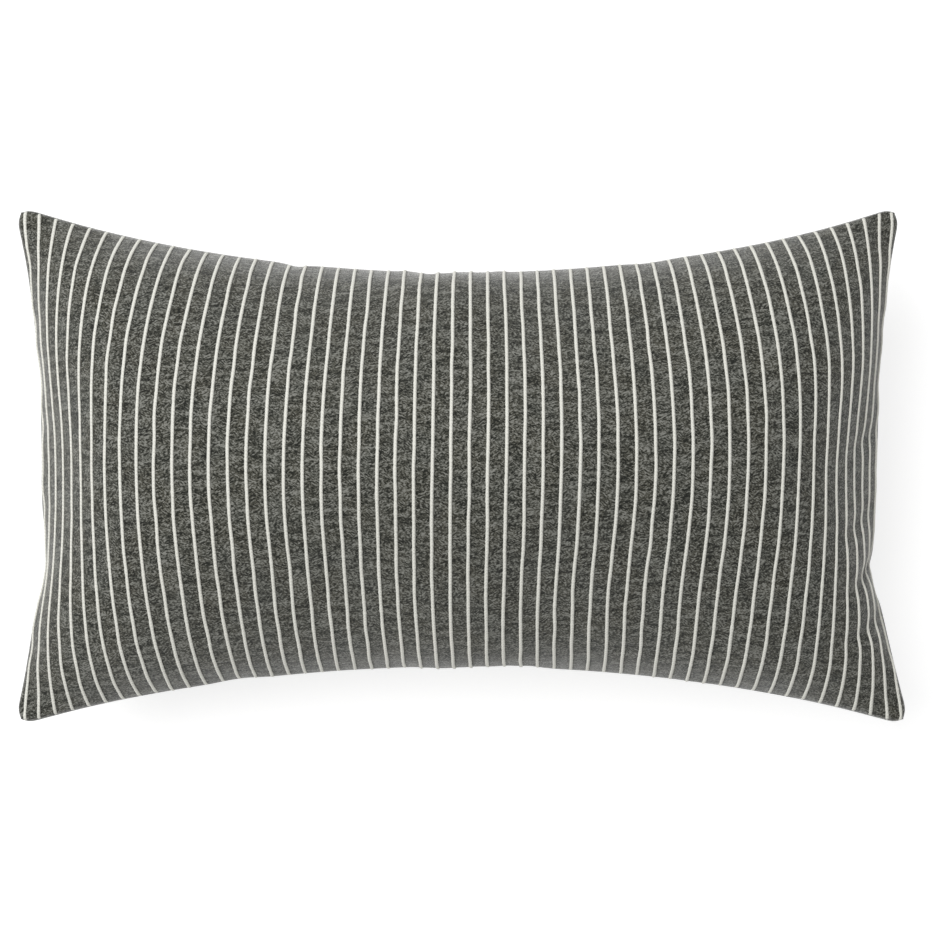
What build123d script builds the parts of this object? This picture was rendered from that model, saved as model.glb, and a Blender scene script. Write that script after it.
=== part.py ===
"""Plump rectangular throw pillow: a sewn cover with a lapped zip, round a separate filled insert.

Frame: the pillow lies on its back. X runs along the long sides, +Y to the plain long seam, -Y to the
zip, and +Z out of the front. The origin is on the floor, under the middle of the pillow. Millimetres.
"""

from build123d import *
from math import cos, degrees, pi, sin, sqrt
import os

# ---- Filled cover, seen from the front: four corners joined by seams that bow inwards ----
CORNER_WIDTH = 552.0
CORNER_HEIGHT = 319.0
TOP_BOW = 39.5
BOTTOM_BOW = 35.0
LEFT_BOW = 15.0
RIGHT_BOW = 17.0
SEAM_LEVEL = 87.0
FRONT_RISE = 91.0
BACK_DROP = 91.0

# ---- Cloth thicknesses and what lies inside the seams ----
COVER_CLOTH = 1.0
INSERT_CLOTH = 0.5
COVER_SEAM_GAP = 0.35
INSERT_SEAM_GAP = 0.2
LAYER_GAP = 0.4
ALLOWANCE = 11.0
ALLOWANCE_LEVEL = 0.7
CORNER_CLIP = 30.0
INSERT_SET_BACK = 15.0
THREAD = 0.4

# ---- Lapped zip, under the front panel's bottom edge ----
LAP = 12.0
LAP_FADE = 6
CHAIN_LENGTH = 400.0
CHAIN_INWARD = 6.2
CHANNEL = 1.2
COIL_WIDTH = 1.9
COIL_DROP = 1.4
TAPE = 0.5
TAPE_WIDTH = 12.6
TAPE_TURN = 1.7
TAPE_UPPER = 1.7
STOP_LENGTH = 2.0

# ---- Slider and pull ----
SLIDER_LENGTH = 8.6
WING = 0.8
SLIDER_CLEAR = 0.25
SIDE_WALL = 0.7
POST_WIDTH = 0.9
BRIDGE_WIDTH = 0.9
PULL_PIN = 0.9
PULL_WIDTH = 4.8
PULL_LENGTH = 18.0
PULL_THICKNESS = 1.1
SLIDER_END_GAP = 6.0

GRID_X = 32
GRID_Y = 20
EDGE_SPREAD = 0.12
LONG_FULLNESS = 2.8
SHORT_FULLNESS = 2.2

os.makedirs("parts", exist_ok=True)


def save(shape, node):
    export_step(shape, f"parts/{node}.step")


# ---- Outlines ----
# An outline is set in from the cover's own outline by one distance on three sides and by another at
# the bottom. "across" and "up" run from -1 to 1 between its edges.


def bowed(low, high, bow, place):
    """How far a circular seam stands in from its chord, at place -1..1 along that chord."""
    half = (high - low) / 2
    radius = (half * half + bow * bow) / (2 * bow)
    return sqrt(radius * radius - (half * place) ** 2) - (radius - bow)


def outline_point(across, up, inset, bottom_inset, lap=0.0):
    """A point of the patch that the four bowed seams bound, blended from all four.

    lap sets the bottom further in along the zip, and fades out towards the corners.
    """
    half_x = CORNER_WIDTH / 2 - inset
    top_y = CORNER_HEIGHT / 2 - inset
    bottom_y = -CORNER_HEIGHT / 2 + bottom_inset
    lap_here = lap * (1 - abs(across) ** LAP_FADE)
    left = -half_x + bowed(bottom_y, top_y, LEFT_BOW, up)
    right = half_x - bowed(bottom_y, top_y, RIGHT_BOW, up)
    bottom = bottom_y + bowed(-half_x, half_x, BOTTOM_BOW, across) + lap_here
    top = top_y - bowed(-half_x, half_x, TOP_BOW, across)
    share_x = (across + 1) / 2
    share_y = (up + 1) / 2
    return left + (right - left) * share_x, bottom + (top - bottom) * share_y


def outline_face(inset, bottom_inset, level):
    """The flat area inside an outline, at a height above the seam."""

    def corner(across, up):
        half_x = CORNER_WIDTH / 2 - inset
        y = CORNER_HEIGHT / 2 - inset if up > 0 else -CORNER_HEIGHT / 2 + bottom_inset
        return across * half_x, y, SEAM_LEVEL + level

    def middle(across, up):
        x, y = outline_point(across, up, inset, bottom_inset)
        return x, y, SEAM_LEVEL + level

    sides = [
        ThreePointArc(corner(-1, -1), middle(0, -1), corner(1, -1)),
        ThreePointArc(corner(1, -1), middle(1, 0), corner(1, 1)),
        ThreePointArc(corner(1, 1), middle(0, 1), corner(-1, 1)),
        ThreePointArc(corner(-1, 1), middle(-1, 0), corner(-1, -1)),
    ]
    return Face(Wire(sides))


def ring(outer, inner, low, high):
    """A flat band between two outlines, each given as (inset, bottom inset), from low to high."""
    band = outline_face(*outer, low) - outline_face(*inner, low)
    return extrude(band, amount=high - low, dir=(0, 0, 1))


# ---- Filled halves ----


def swing(step, steps):
    """A place from -1 to 1 whose steps close up towards both ends."""
    return sin(pi / 2 * (2 * step / steps - 1))


def spread(step, steps):
    """The same, but still moving at the ends, so that the surface doesn't pinch at its corners."""
    return (1 - EDGE_SPREAD) * swing(step, steps) + EDGE_SPREAD * (2 * step / steps - 1)


def fullness(across, up):
    """Height of the filled shape, 0 at the seams and 1 in the middle."""
    return sqrt(max(0.0, 1 - abs(across) ** LONG_FULLNESS)) * sqrt(max(0.0, 1 - abs(up) ** SHORT_FULLNESS))


def half_pillow(inset, bottom_inset, rise, side, seam_gap, floor=None, lap=0.0):
    """A closed half: flat at the seam, crowned on the other side, and flat again where it rests.

    side is 1 for the front and -1 for the back.
    """
    rows = []
    for i in range(GRID_X + 1):
        row = []
        for j in range(GRID_Y + 1):
            x, y = outline_point(spread(i, GRID_X), spread(j, GRID_Y), inset, bottom_inset, lap)
            height = seam_gap + (rise - seam_gap) * fullness(swing(i, GRID_X), swing(j, GRID_Y))
            row.append(Vector(x, y, SEAM_LEVEL + side * height))
        rows.append(row)
    crown = Face.make_surface_from_array_of_points(rows, tol=0.01)
    seam = Face(Wire(crown.edges()))
    half = Solid(Shell([crown, seam]))
    if half.volume < 0:
        half = Solid(half.wrapped.Reversed())
    if floor is not None:
        half = split(half, Plane.XY.offset(floor), keep=Keep.TOP)
    return half


def shell_half(inset, bottom_inset, cloth, rise, side, seam_gap, floor=None, lap=0.0):
    """One sewn panel, filled out: a crowned skin, one cloth thick."""
    outer = half_pillow(inset, bottom_inset, rise, side, seam_gap, floor, lap)
    inner_floor = None if floor is None else floor + cloth
    inner_insets = (inset + cloth, bottom_inset + cloth)
    inner = half_pillow(*inner_insets, rise - cloth, side, seam_gap, inner_floor, lap)
    return outer - inner


# ---- Arc of the bottom seam, which the zip follows ----
BOTTOM_RADIUS = ((CORNER_WIDTH / 2) ** 2 + BOTTOM_BOW**2) / (2 * BOTTOM_BOW)
ARC_CENTRE_Y = -CORNER_HEIGHT / 2 + BOTTOM_BOW - BOTTOM_RADIUS
ARC_AXIS = Axis((0, ARC_CENTRE_Y, 0), (0, 0, 1))
CHAIN_RADIUS = BOTTOM_RADIUS + CHAIN_INWARD
CHAIN_END = CHAIN_LENGTH / 2


def along_seam(profile, start, end):
    """A strip that follows the bottom seam. The profile is (inward from the edge, above the seam) points.

    start and end are places along the chain, in millimetres from its middle towards +X.
    """
    points = [(0, ARC_CENTRE_Y + BOTTOM_RADIUS + inward, SEAM_LEVEL + up) for inward, up in profile]
    face = Face(Wire(Polyline(points, close=True).edges()))
    first = face.rotate(ARC_AXIS, -degrees(end / CHAIN_RADIUS))
    return revolve(first, ARC_AXIS, degrees((end - start) / CHAIN_RADIUS))


def block(inward, up):
    """A rectangular profile from (low, high) inward and (low, high) up."""
    return [(inward[0], up[0]), (inward[1], up[0]), (inward[1], up[1]), (inward[0], up[1])]


ZIP_ZONE_END = CHAIN_END + 8.0

def three_sides(band):
    """Leaves a band only along the two sides and the plain long seam, trimmed off across the corners."""
    bottom_strip = Box(2 * CORNER_WIDTH, 2 * CORNER_CLIP, 10)
    cuts = [Pos(0, -CORNER_HEIGHT / 2 + CORNER_CLIP, SEAM_LEVEL) * bottom_strip]
    for x in (-CORNER_WIDTH / 2, CORNER_WIDTH / 2):
        for y in (-CORNER_HEIGHT / 2, CORNER_HEIGHT / 2):
            clip = Rot(0, 0, 45) * Box(2 * CORNER_CLIP, 2 * CORNER_CLIP, 10)
            cuts.append(Pos(x, y, SEAM_LEVEL) * clip)
    return band - cuts


def allowance(low):
    """The turned-in cloth along the two sides and the plain long seam, in one level band."""
    band = ring((COVER_CLOTH / 2, COVER_CLOTH / 2), (ALLOWANCE, ALLOWANCE), low, low + COVER_CLOTH)
    return three_sides(band)


# ---- Cover panels: each one cloth, with its edges turned in at the seams ----
front_skin = shell_half(0, 0, COVER_CLOTH, FRONT_RISE, 1, COVER_SEAM_GAP)
back_skin = shell_half(0, 0, COVER_CLOTH, BACK_DROP, -1, COVER_SEAM_GAP, floor=0, lap=LAP)

turning_low = TAPE_UPPER + TAPE + 0.6
turning_level = (turning_low, turning_low + COVER_CLOTH)
front_turning = along_seam(
    block((COVER_CLOTH / 2, TAPE_TURN + TAPE_WIDTH), turning_level), -ZIP_ZONE_END, ZIP_ZONE_END
)
save(front_skin + allowance(ALLOWANCE_LEVEL) + front_turning, "cover_front")

back_level = -ALLOWANCE_LEVEL - COVER_CLOTH
back_turning = along_seam(
    block((LAP + COVER_CLOTH / 2, LAP + ALLOWANCE), (back_level, -ALLOWANCE_LEVEL)), -CHAIN_END, CHAIN_END
)
save(back_skin + allowance(back_level) + back_turning, "cover_back")

# ---- Threads that close the cover: a lockstitch line and the overlocked raw edges ----
stitch_line = ring(
    (COVER_CLOTH + 0.3, LAP + COVER_CLOTH + 0.3),
    (COVER_CLOTH + 0.3 + THREAD, LAP + COVER_CLOTH + 0.3 + THREAD),
    -COVER_SEAM_GAP + 0.05,
    COVER_SEAM_GAP - 0.05,
)
zip_clearing = along_seam(block((-5, LAP + ALLOWANCE + 12), (-4, 4)), -ZIP_ZONE_END, ZIP_ZONE_END)
save(stitch_line - zip_clearing, "cover_seam_thread")

for node, low in (("overlock_thread_front", ALLOWANCE_LEVEL), ("overlock_thread_back", back_level)):
    raw_edge = ALLOWANCE + 0.1
    thread_edge = raw_edge + THREAD
    save(three_sides(ring((raw_edge, raw_edge), (thread_edge, thread_edge), low, low + COVER_CLOTH)), node)

# ---- Zip tapes: the front one turns round at the lap, and both are sewn to the turned-in cloth ----
channel_half = CHANNEL / 2 + 0.05
tape_half = TAPE / 2
front_tape = [
    (CHAIN_INWARD - channel_half, -tape_half),
    (TAPE_TURN, -tape_half),
    (TAPE_TURN, TAPE_UPPER + TAPE),
    (TAPE_TURN + TAPE_WIDTH, TAPE_UPPER + TAPE),
    (TAPE_TURN + TAPE_WIDTH, TAPE_UPPER),
    (TAPE_TURN + TAPE, TAPE_UPPER),
    (TAPE_TURN + TAPE, tape_half),
    (CHAIN_INWARD - channel_half, tape_half),
]
tape_end = CHAIN_END + 6.0
save(along_seam(front_tape, -tape_end, tape_end), "zipper_tape_front")

back_tape_inner = CHAIN_INWARD + channel_half
back_tape = block((back_tape_inner, back_tape_inner + TAPE_WIDTH), (-tape_half, tape_half))
save(along_seam(back_tape, -tape_end, tape_end), "zipper_tape_back")

# ---- Coils: two rows under the tapes, with the slider's channel between them ----
coil_top = -tape_half - 0.05
coil_level = (coil_top - COIL_DROP, coil_top)
front_coil_side = (CHAIN_INWARD - CHANNEL / 2 - COIL_WIDTH, CHAIN_INWARD - CHANNEL / 2)
back_coil_side = (CHAIN_INWARD + CHANNEL / 2, CHAIN_INWARD + CHANNEL / 2 + COIL_WIDTH)
save(along_seam(block(front_coil_side, coil_level), -CHAIN_END, CHAIN_END), "zipper_coil_front")
save(along_seam(block(back_coil_side, coil_level), -CHAIN_END, CHAIN_END), "zipper_coil_back")

# ---- Stops: one on each row where the zip is shut, and one across both rows at the other end ----
stop_level = (coil_level[0] - 0.1, coil_top)
stop_start = CHAIN_END + 0.1
top_stops = [
    along_seam(block(side, stop_level), stop_start, stop_start + STOP_LENGTH)
    for side in (front_coil_side, back_coil_side)
]
save(Compound(children=top_stops), "zipper_top_stops")
bottom_stop = along_seam(
    block((front_coil_side[0], back_coil_side[1]), stop_level), -stop_start - STOP_LENGTH, -stop_start
)
save(bottom_stop, "zipper_bottom_stop")

# ---- Stitching that holds each tape to its panel ----
tape_stitch_end = CHAIN_END + 3.0
front_stitch_level = (TAPE_UPPER + TAPE + 0.1, turning_low - 0.1)
front_stitch_inward = TAPE_TURN + TAPE_WIDTH / 2
front_stitch = block((front_stitch_inward, front_stitch_inward + THREAD), front_stitch_level)
save(along_seam(front_stitch, -tape_stitch_end, tape_stitch_end), "zipper_stitch_front")
back_stitch_level = (-ALLOWANCE_LEVEL + 0.05, -tape_half - 0.05)
back_stitch_inward = LAP + 3.5
back_stitch = block((back_stitch_inward, back_stitch_inward + THREAD), back_stitch_level)
save(along_seam(back_stitch, -tape_stitch_end, tape_stitch_end), "zipper_stitch_back")

# ---- Slider and pull, built round the middle of the chain, then carried to the shut end ----
# In their own frame, x runs along the chain, y inwards and z up, from the middle of the tapes.
slider_place = CHAIN_END - SLIDER_END_GAP
slider_turn = slider_place / CHAIN_RADIUS


def to_shut_end(shape):
    """Carries a shape from the slider's own frame to the end where the zip is shut."""
    x = CHAIN_RADIUS * sin(slider_turn)
    y = ARC_CENTRE_Y + CHAIN_RADIUS * cos(slider_turn)
    return Location((x, y, SEAM_LEVEL), (0, 0, -degrees(slider_turn))) * shape


coil_edge = CHANNEL / 2 + COIL_WIDTH
wall_inner = coil_edge + SLIDER_CLEAR
slider_half = wall_inner + SIDE_WALL
upper_wing_low = tape_half + SLIDER_CLEAR
lower_wing_high = coil_level[0] - SLIDER_CLEAR
lower_wing_low = lower_wing_high - WING


def wing(low):
    """One plate of the slider: a rounded plate, narrower where the shut chain leaves it."""
    plate = Box(SLIDER_LENGTH, 2 * slider_half, WING, align=(Align.CENTER, Align.CENTER, Align.MIN))
    plate = fillet(plate.edges().filter_by(Axis.Z), 1.2)
    return Pos(0, 0, low) * plate


def side_wall(side):
    """A low wall that keeps one row of coil inside the slider, below the tape."""
    height = -tape_half - SLIDER_CLEAR - lower_wing_high
    wall = Box(SLIDER_LENGTH - 2.6, SIDE_WALL, height + 0.2, align=(Align.CENTER, Align.CENTER, Align.MIN))
    return Pos(0, side * (wall_inner + SIDE_WALL / 2), lower_wing_high - 0.2) * wall


post_height = upper_wing_low - lower_wing_high + 0.4
post = Box(2.6, POST_WIDTH, post_height, align=(Align.CENTER, Align.CENTER, Align.MIN))
post = Pos(SLIDER_LENGTH / 2 - 1.9, 0, lower_wing_high - 0.2) * post

bridge_length = 5.0
bridge_drop = 2.2
bridge_wall = 0.8
bridge_block = Box(bridge_length, BRIDGE_WIDTH, bridge_drop + 0.2, align=(Align.CENTER, Align.CENTER, Align.MAX))
bridge_block = Pos(0, 0, lower_wing_low + 0.2) * bridge_block
window_length = bridge_length - 2 * bridge_wall
window_height = bridge_drop - bridge_wall
window = Box(window_length, 2 * BRIDGE_WIDTH, window_height, align=(Align.CENTER, Align.CENTER, Align.MAX))
window = Pos(0, 0, lower_wing_low) * window
bridge_edges = bridge_block.edges().filter_by(Axis.Y).sort_by(Axis.Z)[:2]
bridge = fillet(bridge_edges, 0.7) - window

slider = wing(upper_wing_low) + wing(lower_wing_low) + side_wall(-1) + side_wall(1) + post + bridge
save(to_shut_end(slider), "zipper_slider")

pin_level = lower_wing_low - window_height + 0.15 + PULL_PIN / 2
arm_width = 0.9
pin = Rot(90, 0, 0) * Cylinder(PULL_PIN / 2, PULL_WIDTH)
arm_length = 3.6
arm_middle = PULL_WIDTH / 2 - arm_width / 2
arm = Box(PULL_PIN, arm_width, arm_length, align=(Align.CENTER, Align.CENTER, Align.MAX))
tab = Box(PULL_THICKNESS, PULL_WIDTH, PULL_LENGTH - arm_length, align=(Align.CENTER, Align.CENTER, Align.MAX))
tab = fillet(tab.edges().filter_by(Axis.X).sort_by(Axis.Z)[:2], PULL_WIDTH / 2 - 0.2)
tab = Pos(0, 0, -arm_length) * tab
tab_hole = Pos(0, 0, -PULL_LENGTH + PULL_WIDTH / 2) * (Rot(0, 90, 0) * Cylinder(1.0, 2 * PULL_THICKNESS))
pull = pin + Pos(0, arm_middle, 0) * arm + Pos(0, -arm_middle, 0) * arm + (tab - tab_hole)
save(to_shut_end(Pos(0, 0, pin_level) * pull), "zipper_pull")

# ---- Insert: its own sewn shell, filled, set back from the cover's seams ----
insert_bottom = LAP + ALLOWANCE + 2.0
insert_rise = FRONT_RISE - COVER_CLOTH - LAYER_GAP
insert_floor = COVER_CLOTH + LAYER_GAP
insert_outline = (INSERT_SET_BACK, insert_bottom)
save(shell_half(*insert_outline, INSERT_CLOTH, insert_rise, 1, INSERT_SEAM_GAP), "insert_shell_front")
insert_back = shell_half(*insert_outline, INSERT_CLOTH, insert_rise, -1, INSERT_SEAM_GAP, insert_floor)
save(insert_back, "insert_shell_back")

fill_step = INSERT_CLOTH + LAYER_GAP
fill_outline = (INSERT_SET_BACK + 3 * fill_step, insert_bottom + 3 * fill_step)
fill_rise = insert_rise - fill_step
fill_gap = 0.1
fill_front = half_pillow(*fill_outline, fill_rise, 1, fill_gap)
fill_back = half_pillow(*fill_outline, fill_rise, -1, fill_gap, insert_floor + fill_step)
fill_middle = outline_face(fill_outline[0] + 0.5, fill_outline[1] + 0.5, -1)
save(fill_front + extrude(fill_middle, amount=2, dir=(0, 0, 1)) + fill_back, "insert_fill")

# ---- Insert's threads: its seam, and the hand-wide length that was closed after filling ----
insert_stitch_outer = (INSERT_SET_BACK + INSERT_CLOTH + 0.2, insert_bottom + INSERT_CLOTH + 0.2)
insert_stitch_inner = (insert_stitch_outer[0] + THREAD, insert_stitch_outer[1] + THREAD)
insert_stitch = ring(insert_stitch_outer, insert_stitch_inner, -THREAD / 2, THREAD / 2)
closing_half = 60.0
closing_box = Pos(0, -CORNER_HEIGHT / 2 + insert_bottom + BOTTOM_BOW, SEAM_LEVEL) * Box(2 * closing_half, 30, 10)
save(insert_stitch - closing_box, "insert_seam_thread")
save(insert_stitch & (closing_box.scale(0.995)), "insert_closing_stitch")

# ---- Blank labels: the cover's in its left seam, the insert's in its own right seam ----
label_length = 28.0
label_width = 9.0
label_cloth = 0.3
left_seam_x = -CORNER_WIDTH / 2 + LEFT_BOW
right_seam_x = CORNER_WIDTH / 2 - RIGHT_BOW
label = Box(label_width, label_length, label_cloth, align=(Align.MIN, Align.CENTER, Align.CENTER))
save(Pos(left_seam_x + COVER_CLOTH + 1.4, 0, SEAM_LEVEL) * label, "care_label")
insert_label_x = right_seam_x - INSERT_SET_BACK + 0.6
save(Pos(insert_label_x, 0, SEAM_LEVEL) * label, "insert_label")
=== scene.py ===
from math import cos, pi, radians, sin

import bpy
import numpy as np
from mathutils.bvhtree import BVHTree
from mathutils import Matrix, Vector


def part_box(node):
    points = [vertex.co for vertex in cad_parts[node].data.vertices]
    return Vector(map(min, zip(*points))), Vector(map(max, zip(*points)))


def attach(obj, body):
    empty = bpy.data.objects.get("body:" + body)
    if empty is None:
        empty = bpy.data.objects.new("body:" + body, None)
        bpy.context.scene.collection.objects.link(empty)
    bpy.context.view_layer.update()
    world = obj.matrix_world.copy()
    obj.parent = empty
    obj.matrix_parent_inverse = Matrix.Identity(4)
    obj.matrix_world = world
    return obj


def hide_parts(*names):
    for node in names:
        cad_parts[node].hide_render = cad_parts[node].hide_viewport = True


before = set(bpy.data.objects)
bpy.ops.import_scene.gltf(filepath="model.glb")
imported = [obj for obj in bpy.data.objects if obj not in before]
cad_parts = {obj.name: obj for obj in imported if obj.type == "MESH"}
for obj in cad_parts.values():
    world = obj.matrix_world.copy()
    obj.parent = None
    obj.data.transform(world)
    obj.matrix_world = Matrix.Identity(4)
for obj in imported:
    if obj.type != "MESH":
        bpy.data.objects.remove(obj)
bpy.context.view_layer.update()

# ---- Floor, light and camera ----
# The pillow lies on a white sweep that glows softly, as a light table does. One broad lamp hangs up
# to the left behind it, an even white sky fills the shadows, and the camera hangs straight over it.
SEAM_LEVEL = 0.087
CAMERA_HEIGHT = 1.25
CAMERA_PLACE = (0.0061, -0.0038)
VIEW_WIDTH = 0.586
SENSOR = 36.0


def node(tree, kind, settings=None, **inputs):
    """Adds a node. Each input is a value or another node's output, named as the socket is."""
    made = tree.nodes.new(kind)
    for name, value in (settings or {}).items():
        setattr(made, name, value)
    for name, value in inputs.items():
        socket = made.inputs[int(name[1:])] if name[0] == "_" else made.inputs[name.replace("_", " ")]
        if isinstance(value, bpy.types.NodeSocket):
            tree.links.new(value, socket)
        else:
            socket.default_value = value
    return made


def calc(tree, operation, *values):
    """A Math node's result."""
    inputs = {f"_{place}": value for place, value in enumerate(values)}
    return node(tree, "ShaderNodeMath", {"operation": operation}, **inputs).outputs[0]


def new_material(name):
    """An empty node material with its Principled shader, which is all that stays in every material."""
    material = bpy.data.materials.new(name)
    material.use_nodes = True
    tree = material.node_tree
    return material, tree, tree.nodes["Principled BSDF"]


def new_object(name, vertices, edges=(), faces=()):
    """A mesh object made from points, edges and faces."""
    mesh = bpy.data.meshes.new(name)
    mesh.from_pydata([tuple(v) for v in vertices], [tuple(e) for e in edges], [tuple(f) for f in faces])
    mesh.update()
    made = bpy.data.objects.new(name, mesh)
    bpy.context.scene.collection.objects.link(made)
    return made


floor_half = 4.0
floor_corners = [(-floor_half, -floor_half, 0), (floor_half, -floor_half, 0), (floor_half, floor_half, 0)]
floor = new_object("floor", floor_corners + [(-floor_half, floor_half, 0)], faces=[(0, 1, 2, 3)])
floor_paint, _, floor_shader = new_material("floor_paint")
floor_shader.inputs["Base Color"].default_value = (0.5, 0.5, 0.5, 1)
floor_shader.inputs["Emission Color"].default_value = (1, 1, 1, 1)
floor_shader.inputs["Emission Strength"].default_value = 0.68
floor_shader.inputs["Roughness"].default_value = 0.9
floor_shader.inputs["Specular IOR Level"].default_value = 0.0
floor.data.materials.append(floor_paint)

world = bpy.data.worlds.new("studio")
world.use_nodes = True
world.node_tree.nodes["Background"].inputs["Color"].default_value = (1, 1, 1, 1)
world.node_tree.nodes["Background"].inputs["Strength"].default_value = 0.5
bpy.context.scene.world = world
bpy.context.scene.view_settings.view_transform = "Standard"

lamp_data = bpy.data.lights.new("softbox", "AREA")
lamp_data.shape = "DISK"
lamp_data.size = 1.5
lamp_data.energy = 32.0
lamp = bpy.data.objects.new("softbox", lamp_data)
lamp.location = (-0.8, 0.5, 1.7)
lamp.rotation_euler = (radians(-17), radians(-25), 0)
bpy.context.scene.collection.objects.link(lamp)

camera_data = bpy.data.cameras.new("camera")
camera_data.sensor_width = SENSOR
camera_data.lens = SENSOR * CAMERA_HEIGHT / VIEW_WIDTH
camera = bpy.data.objects.new("camera", camera_data)
camera.location = (*CAMERA_PLACE, SEAM_LEVEL + CAMERA_HEIGHT)
bpy.context.scene.collection.objects.link(camera)
bpy.context.scene.camera = camera

# ---- Filled cover: the shape that both panels take ----
# The cover is two flat rectangles of cloth sewn round the edge and stuffed, so a cloth simulation
# blows the flat panels up while their seams draw in to the bowed outline. Metres from here on.
CORNER_WIDTH = 0.552
CORNER_HEIGHT = 0.319
BOWS = {"top": 0.0395, "bottom": 0.035, "left": 0.015, "right": 0.017}
CORNER_EAR = 0.0038
TOP_RIGHT_TUCK = 0.0055
CORNER_ROUND = 0.0060
LAP = 0.012
LAP_FADE = 6
CLOTH_WIDTH = 0.610
CLOTH_HEIGHT = 0.335
COLUMNS = 54
ROWS = 30
FILLED_RISE = 0.06
SWELL_FRAMES = 15
CLOTH_FRAMES = 45
# Each seam's small dents: place along it from -1 to 1, depth and half width.
DENTS = {
    "top": [(-0.37, 0.0016, 0.008), (-0.06, 0.0014, 0.007), (0.42, 0.001, 0.012)],
    "bottom": [(0.13, 0.0016, 0.012), (-0.5, 0.0012, 0.014)],
    "left": [(0.32, 0.0012, 0.012), (-0.37, 0.0055, 0.024)],
    "right": [(-0.42, 0.0044, 0.013), (-0.40, 0.0048, 0.050), (0.35, 0.001, 0.014)],
}


def bend(edge, place, half):
    """How far a seam stands in from its chord, at a place from -1 to 1 along it."""
    depth = BOWS[edge]
    radius = (half**2 + depth**2) / (2 * depth)
    inward = np.sqrt(radius**2 - (half * place) ** 2) - (radius - depth)
    for centre, dent, reach in DENTS[edge]:
        inward = inward + dent * np.exp(-(((place - centre) * half / reach) ** 2))
    return inward


def lap_at(across):
    """How far the back panel's bottom edge is set in, where the zip is hidden."""
    return LAP * (1 - np.abs(across) ** LAP_FADE)


def seam_patch(across, up, inset=0.0, lapped=False):
    """The flat area that the four bowed seams bound, blended from all four, with full blunt corners."""
    half_x = CORNER_WIDTH / 2 - inset
    half_y = CORNER_HEIGHT / 2 - inset
    left = -half_x + bend("left", up, half_y)
    right = half_x - bend("right", up, half_y)
    bottom = -half_y + bend("bottom", across, half_x) + (lap_at(across) if lapped else 0)
    top = half_y - bend("top", across, half_x)
    ear = CORNER_EAR * np.abs(across) ** 9 * np.abs(up) ** 8
    corner = ear - CORNER_ROUND * np.abs(across) ** 45 * np.abs(up) ** 28
    tuck = TOP_RIGHT_TUCK * ((across + 1) / 2) ** 6 * ((up + 1) / 2) ** 3
    x = left + (right - left) * (across + 1) / 2 + np.sign(across) * corner - tuck
    y = bottom + (top - bottom) * (up + 1) / 2 + np.sign(up) * corner
    return x, y


def fullness(across, up, long_power=2.5, short_power=2.2):
    """Height of a filled shape, 0 at its seams and 1 in its middle."""
    long_way = np.sqrt(np.maximum(0, 1 - np.abs(across) ** long_power))
    return long_way * np.sqrt(np.maximum(0, 1 - np.abs(up) ** short_power))


def quads(rows, columns, start=0):
    """Faces of a grid of points, anticlockwise from above."""
    grid = np.arange(rows * columns).reshape(rows, columns) + start
    corners = (grid[:-1, :-1], grid[:-1, 1:], grid[1:, 1:], grid[1:, :-1])
    return np.stack([c.ravel() for c in corners], axis=1)


def rim(rows, columns):
    """A grid's border points, anticlockwise."""
    grid = np.arange(rows * columns).reshape(rows, columns)
    return np.concatenate([grid[0, :-1], grid[:-1, -1], grid[-1, :0:-1], grid[:0:-1, 0]])


across_grid, up_grid = np.meshgrid(np.linspace(-1, 1, COLUMNS + 1), np.linspace(-1, 1, ROWS + 1))
flat_layout = []
filled_layout = []
for side in (1, -1):
    lapped = side < 0
    flat_y = CLOTH_HEIGHT / 2 * up_grid + (lap_at(across_grid) * (1 - up_grid) / 2 if lapped else 0)
    x, y = seam_patch(across_grid, up_grid, lapped=lapped)
    z = SEAM_LEVEL + side * (0.0002 + FILLED_RISE * fullness(across_grid, up_grid))
    flat_z = np.full_like(z, SEAM_LEVEL + side * 0.0002)
    flat_layout.append(np.stack([CLOTH_WIDTH / 2 * across_grid, flat_y, flat_z], axis=-1).reshape(-1, 3))
    filled_layout.append(np.stack([x, y, z], axis=-1).reshape(-1, 3))

panel_points = (ROWS + 1) * (COLUMNS + 1)
border = rim(ROWS + 1, COLUMNS + 1)
next_border = np.roll(border, -1)
edge_strip = np.stack([border + panel_points, next_border + panel_points, next_border, border], axis=1)
bag_faces = np.concatenate(
    [
        quads(ROWS + 1, COLUMNS + 1),
        quads(ROWS + 1, COLUMNS + 1, panel_points)[:, ::-1],
        edge_strip,
    ]
)
bag = new_object("bag", np.concatenate(flat_layout), faces=bag_faces.tolist())
bag.shape_key_add(name="Flat")
filled_key = bag.shape_key_add(name="Filled")
filled_key.data.foreach_set("co", np.concatenate(filled_layout).ravel())
filled_key.value = 0
filled_key.keyframe_insert("value", frame=1)
filled_key.value = 1
filled_key.keyframe_insert("value", frame=SWELL_FRAMES)

held = bag.vertex_groups.new(name="seam")
held.add(np.concatenate([border, border + panel_points]).tolist(), 1.0, "REPLACE")
cloth = bag.modifiers.new("Cloth", "CLOTH")
cloth.settings.quality = 8
cloth.settings.mass = 0.25
cloth.settings.tension_stiffness = 15
cloth.settings.compression_stiffness = 15
cloth.settings.shear_stiffness = 7.5
cloth.settings.bending_stiffness = 1
cloth.settings.air_damping = 2
cloth.settings.use_pressure = True
cloth.settings.uniform_pressure_force = 3.5
cloth.settings.vertex_group_mass = "seam"
cloth.settings.pin_stiffness = 5
cloth.settings.effector_weights.gravity = 0
cloth.collision_settings.distance_min = 0.001
cloth.collision_settings.use_self_collision = False
cloth.point_cache.frame_end = CLOTH_FRAMES
rest_corners = [(-1, -1, 0), (1, -1, 0), (1, 1, 0), (-1, 1, 0)]
rest_plane = new_object("rest_plane", rest_corners, faces=[(0, 1, 2, 3)])
rest_plane.modifiers.new("Collision", "COLLISION")
rest_plane.collision.thickness_outer = 0.001
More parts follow.
